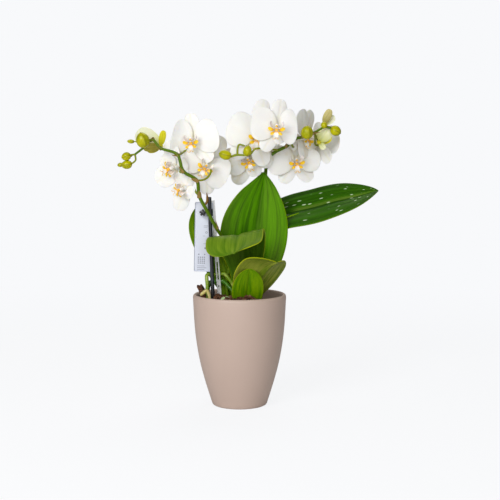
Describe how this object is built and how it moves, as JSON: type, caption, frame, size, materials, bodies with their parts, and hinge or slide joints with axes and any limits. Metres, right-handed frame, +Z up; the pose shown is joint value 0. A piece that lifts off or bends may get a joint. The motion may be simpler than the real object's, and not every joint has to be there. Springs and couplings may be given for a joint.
{
  "type": "potted orchid",
  "caption": "Moth orchid in a tapered round ceramic pot: broad leaves, arched flower spikes on stakes, open white blooms and buds, with a blank plant label.",
  "frame": {"origin": "centre of the pot's underside, on the ground", "axes": "+Z up along the pot's axis, -Y toward the viewer of the picture, +X to the viewer's right"},
  "size_m": [0.2926, 0.1271, 0.3441],
  "materials": {
    "bark": "rough bark",
    "clear_plastic": "clear, smoky",
    "clip_plastic": "gloss black",
    "crown_green": "satin plant tissue",
    "label_card": "satin card",
    "leaf_green": "glossy leaf",
    "lip_yellow": "soft waxy petal",
    "opening_petal": "soft greenish white petal",
    "petal_white": "soft white petal",
    "pick_plastic": "clear plastic",
    "pot_glaze": "matte taupe glaze",
    "root_green": "soft root",
    "spike_green": "satin plant tissue",
    "stake_plastic": "satin dark grey"
  },
  "bodies": {
    "root": {"bark_mix": "bark", "bloom_l1": "petal_white", "bloom_l1_lip": "lip_yellow", "bloom_l2": "petal_white", "bloom_l2_lip": "lip_yellow", "bloom_l3": "petal_white", "bloom_l3_lip": "lip_yellow", "bloom_l4": "petal_white", "bloom_l4_lip": "lip_yellow", "bloom_r1": "petal_white", "bloom_r1_lip": "lip_yellow", "bloom_r2": "petal_white", "bloom_r2_lip": "lip_yellow", "bloom_r3": "petal_white", "bloom_r3_lip": "lip_yellow", "bloom_r4": "petal_white", "bloom_r4_lip": "lip_yellow", "bloom_r5": "petal_white", "bloom_r5_lip": "lip_yellow", "bloom_r6": "petal_white", "bloom_r6_lip": "lip_yellow", "clip_front": "clip_plastic", "clip_rear": "clip_plastic", "crown": "crown_green", "grow_pot": "clear_plastic", "label_card": "label_card", "label_pick": "pick_plastic", "leaf_big": "leaf_green", "leaf_front_left": "leaf_green", "leaf_front_small": "leaf_green", "leaf_left": "leaf_green", "leaf_mid_right": "leaf_green", "leaf_right": "leaf_green", "leaf_young": "leaf_green", "opening_l": "opening_petal", "opening_r1": "opening_petal", "opening_r2": "opening_petal", "pot": "pot_glaze", "root_loop": "root_green", "root_low": "root_green", "root_pale": "root_green", "root_tip": "root_green", "spike_left": "spike_green", "spike_right": "spike_green", "stake_front": "stake_plastic", "stake_rear": "stake_plastic"}
  },
  "joints": []
}
